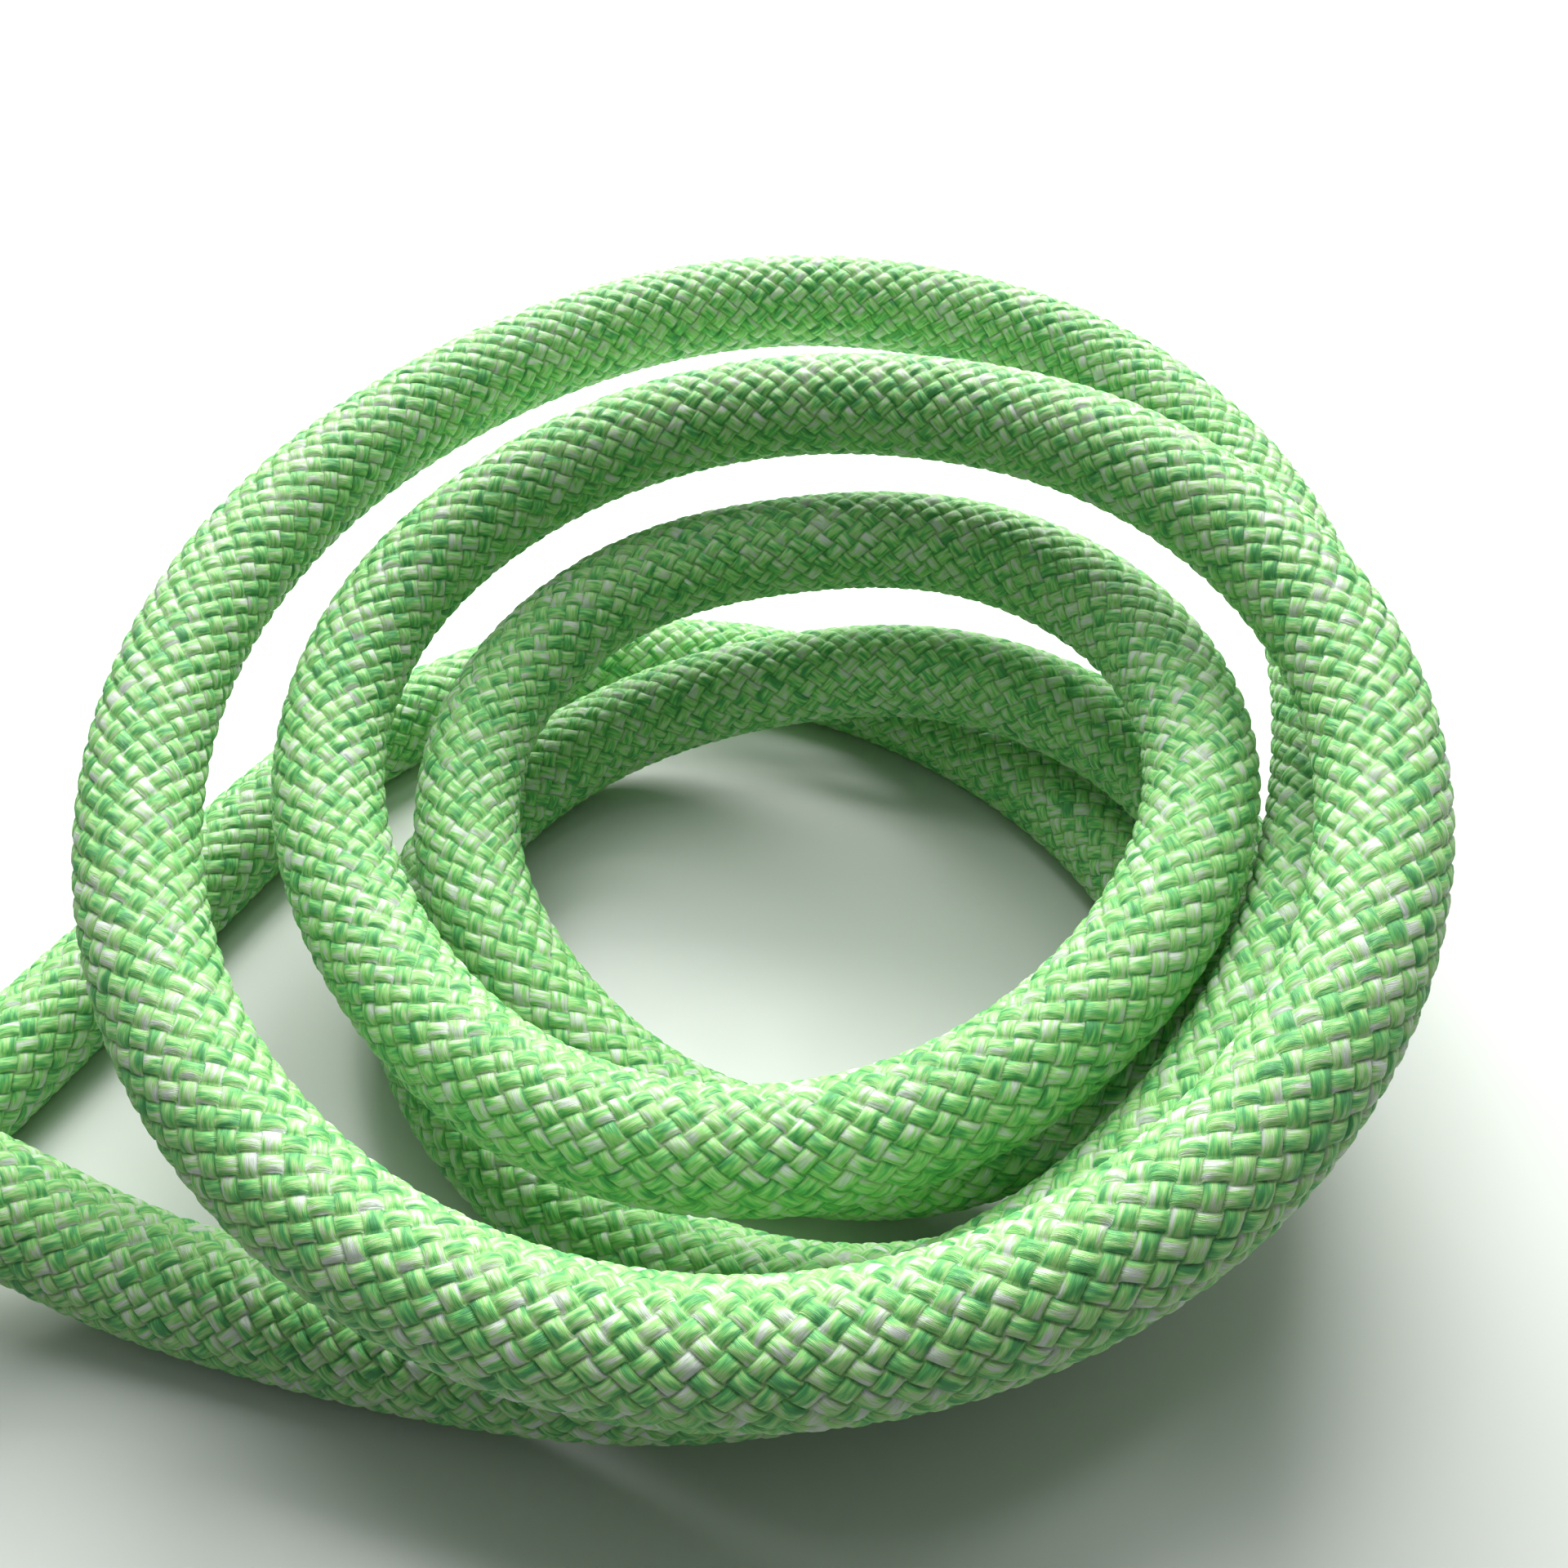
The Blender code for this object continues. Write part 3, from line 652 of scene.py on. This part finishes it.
def strap_outline(along, half_width, half_height, corner):
    """Point and outward normal on a rounded rectangle, a length round from its top middle."""
    flat_x = 2 * (half_width - corner)
    flat_z = 2 * (half_height - corner)
    arc = corner * math.pi / 2
    along = along % (2 * (flat_x + flat_z + 2 * arc))
    point = Vector((0, half_height))
    heading = 0.0
    for length, turns in ((flat_x / 2, False), (arc, True), (flat_z, False), (arc, True), (flat_x, False),
                          (arc, True), (flat_z, False), (arc, True), (flat_x / 2, False)):
        part = min(along, length)
        if turns:
            hub = point + Vector((math.sin(heading), -math.cos(heading))) * corner
            heading -= part / corner
            point = hub + Vector((-math.sin(heading), math.cos(heading))) * corner
        else:
            point = point + Vector((math.cos(heading), math.sin(heading))) * part
        along -= part
        if along <= 0:
            break
    return point, Vector((-math.sin(heading), math.cos(heading)))


def wrapped_strap(name):
    """Strap as one closed band: a flat section with rounded edges carried round the coil's turns."""
    reached = (-math.pi / 2 - STRAP_ANGLE) % math.tau
    radii = [stored_radius_at(reached + math.tau * turn) for turn in range(int(STORED_TURNS))]
    outer = max(radii) + ROPE_RADIUS + STRAP_SIDE_CLEARANCE
    inner = min(radii) - ROPE_RADIUS - STRAP_SIDE_CLEARANCE
    lowest = STRAP_THICKNESS
    highest = FLOOR_HEIGHT + STRAP_LIFT + LAYER_PITCH + ROPE_RADIUS + STRAP_HEADROOM
    half_width, half_height = (outer - inner) / 2, (highest - lowest) / 2
    radial = Vector((math.cos(STRAP_ANGLE), math.sin(STRAP_ANGLE), 0))
    tangent = Vector((-radial.y, radial.x, 0))
    middle = stored_middle + radial * (outer + inner) / 2 + Vector((0, 0, (highest + lowest) / 2))
    girth = 4 * (half_width + half_height) - (8 - math.tau) * ROPE_RADIUS
    whole = girth * (1 + STRAP_OVERLAP)

    # The section: across the width, then up through the thickness, with rounded edges
    flat = np.linspace(-1, 1, STRAP_ACROSS)
    section = [*((side, -1) for side in flat), (1.0, 0.0), *((side, 1) for side in flat[::-1]), (-1.0, 0.0)]
    points, faces = [], []
    for along in np.linspace(0, whole, STRAP_STATIONS + 1):
        point, normal = strap_outline(along, half_width, half_height, ROPE_RADIUS)
        stepped = smooth_step((along / girth - 1 + STRAP_STEP) / STRAP_STEP)
        point = point + normal * (STRAP_THICKNESS + STRAP_LAYER_GAP) * stepped
        base = middle + radial * point.x + Vector((0, 0, point.y))
        outward = radial * normal.x + Vector((0, 0, normal.y))
        from_tip = min((whole - along) / STRAP_TIP, along / STRAP_TIP, 1.0)
        half = STRAP_WIDTH / 2 * max(math.sqrt(1 - (1 - from_tip) ** 2), STRAP_TIP_SQUARE)
        for side, layer in section:
            edge = STRAP_EDGE * (abs(side) == 1) * abs(layer)
            level = STRAP_THICKNESS * (layer + 1) / 2 - edge * layer * STRAP_EDGE_DROP
            spot = base + tangent * side * (half - edge * STRAP_EDGE_INSET) + outward * level
            points.append((spot.x, spot.y, max(spot.z, 0.0)))
    ring = len(section)
    for station in range(STRAP_STATIONS):
        for k in range(ring):
            n = (k + 1) % ring
            faces.append((station * ring + k, station * ring + n, (station + 1) * ring + n,
                          (station + 1) * ring + k))
    last = STRAP_STATIONS * ring
    faces.append(tuple(range(ring))[::-1])
    faces.append(tuple(last + k for k in range(ring)))
    mesh = bpy.data.meshes.new(name)
    mesh.from_pydata(points, [], faces)
    strap = bpy.data.objects.new(name, mesh)
    bpy.context.scene.collection.objects.link(strap)
    outward_faces(strap)
    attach(strap, "root")
    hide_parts("storage_strap")
    return strap


coil_strap = wrapped_strap("wrapped_storage_strap")


def strap_material():
    """Woven grey strap with a looped face."""
    made, tree, surface = finish_material("grey_hook_and_loop", {"Sheen Weight": 0.5, "Sheen Roughness": 0.5})
    place = node(tree, "ShaderNodeTexCoord", None, (), 3)
    loops = node(tree, "ShaderNodeTexVoronoi", None, {"Vector": place, "Scale": 3600.0})
    fuzz = node(tree, "ShaderNodeTexNoise", None, {"Vector": place, "Scale": 1500.0, "Detail": 5.0})
    pile = loops * 0.6 + fuzz * 0.6
    colour = node(tree, "ShaderNodeValToRGB", {"stops": (
        (0.2, (0.045, 0.048, 0.05)),
        (0.8, (0.17, 0.18, 0.19)))}, {"Fac": pile})
    tree.links.new(colour.socket, surface.inputs["Base Color"])
    gloss = node(tree, "ShaderNodeMapRange", None, (fuzz, 0.3, 0.7, 0.75, 0.95))
    tree.links.new(gloss.socket, surface.inputs["Roughness"])
    bump = node(tree, "ShaderNodeBump", None, {"Strength": 0.7, "Distance": 0.12 * MM, "Height": pile})
    tree.links.new(bump.socket, surface.inputs["Normal"])
    return made


coil_strap.data.materials.append(strap_material())

# ---- Floor and light ----
# A pale, faintly glossy table, lit by a broad soft light from behind and above, so that the far side
# bleaches to white and the shadows fall towards the camera.
TABLE_SIZE = 6
TABLE_MIDDLE = (0, 1.5, 0)
SKY_DIMMEST = 0.03                     # towards the camera's own side, below
SKY_BRIGHTEST = 0.56                   # behind the rope, above

bpy.ops.mesh.primitive_plane_add(size=TABLE_SIZE, location=TABLE_MIDDLE)
table_top = bpy.context.object
table_top.name = "table_top"
bpy.ops.object.transform_apply(location=True)
pale, pale_tree, pale_surface = finish_material("pale_table", {"Base Color": (0.60, 0.62, 0.60, 1)})
pale_place = node(pale_tree, "ShaderNodeTexCoord", None, (), 3)
pale_grain = node(pale_tree, "ShaderNodeTexNoise", None, {"Vector": pale_place, "Scale": 60.0, "Detail": 3.0})
pale_gloss = node(pale_tree, "ShaderNodeMapRange", None, (pale_grain, 0.3, 0.7, 0.42, 0.5))
pale_tree.links.new(pale_gloss.socket, pale_surface.inputs["Roughness"])
table_top.data.materials.append(pale)


def soft_light(name, place, size, power, tint):
    """Square soft light aimed at the loose coil."""
    bpy.ops.object.light_add(type="AREA", location=place)
    lamp = bpy.context.object
    lamp.name = name
    lamp.data.size = size
    lamp.data.energy = power
    lamp.data.color = tint
    lamp.rotation_euler = (COIL_MIDDLE - Vector(place)).to_track_quat("-Z", "Y").to_euler()


soft_light("window_behind", (0.10, 0.62, 0.46), 0.5, 12, (1.0, 1.0, 0.98))
soft_light("ceiling", (0.05, 0.30, 0.8), 0.5, 4.2, (0.98, 1.0, 0.98))
world = bpy.data.worlds.new("studio")
bpy.context.scene.world = world
world.use_nodes = True
world_tree = world.node_tree
sky = world_tree.nodes["Background"]
sky.inputs["Color"].default_value = (0.93, 1.0, 0.93, 1)
heading = node(world_tree, "ShaderNodeTexCoord")
behind = node(world_tree, "ShaderNodeSeparateXYZ", None, (heading,), 1)
above = node(world_tree, "ShaderNodeSeparateXYZ", None, (heading,), 2)
sky_strength = node(world_tree, "ShaderNodeMapRange", {"clamp": True},
                    (behind * 0.7 + above * 0.6, -0.3, 0.9, SKY_DIMMEST, SKY_BRIGHTEST))
world_tree.links.new(sky_strength.socket, sky.inputs["Strength"])
bpy.context.scene.view_settings.view_transform = "Standard"
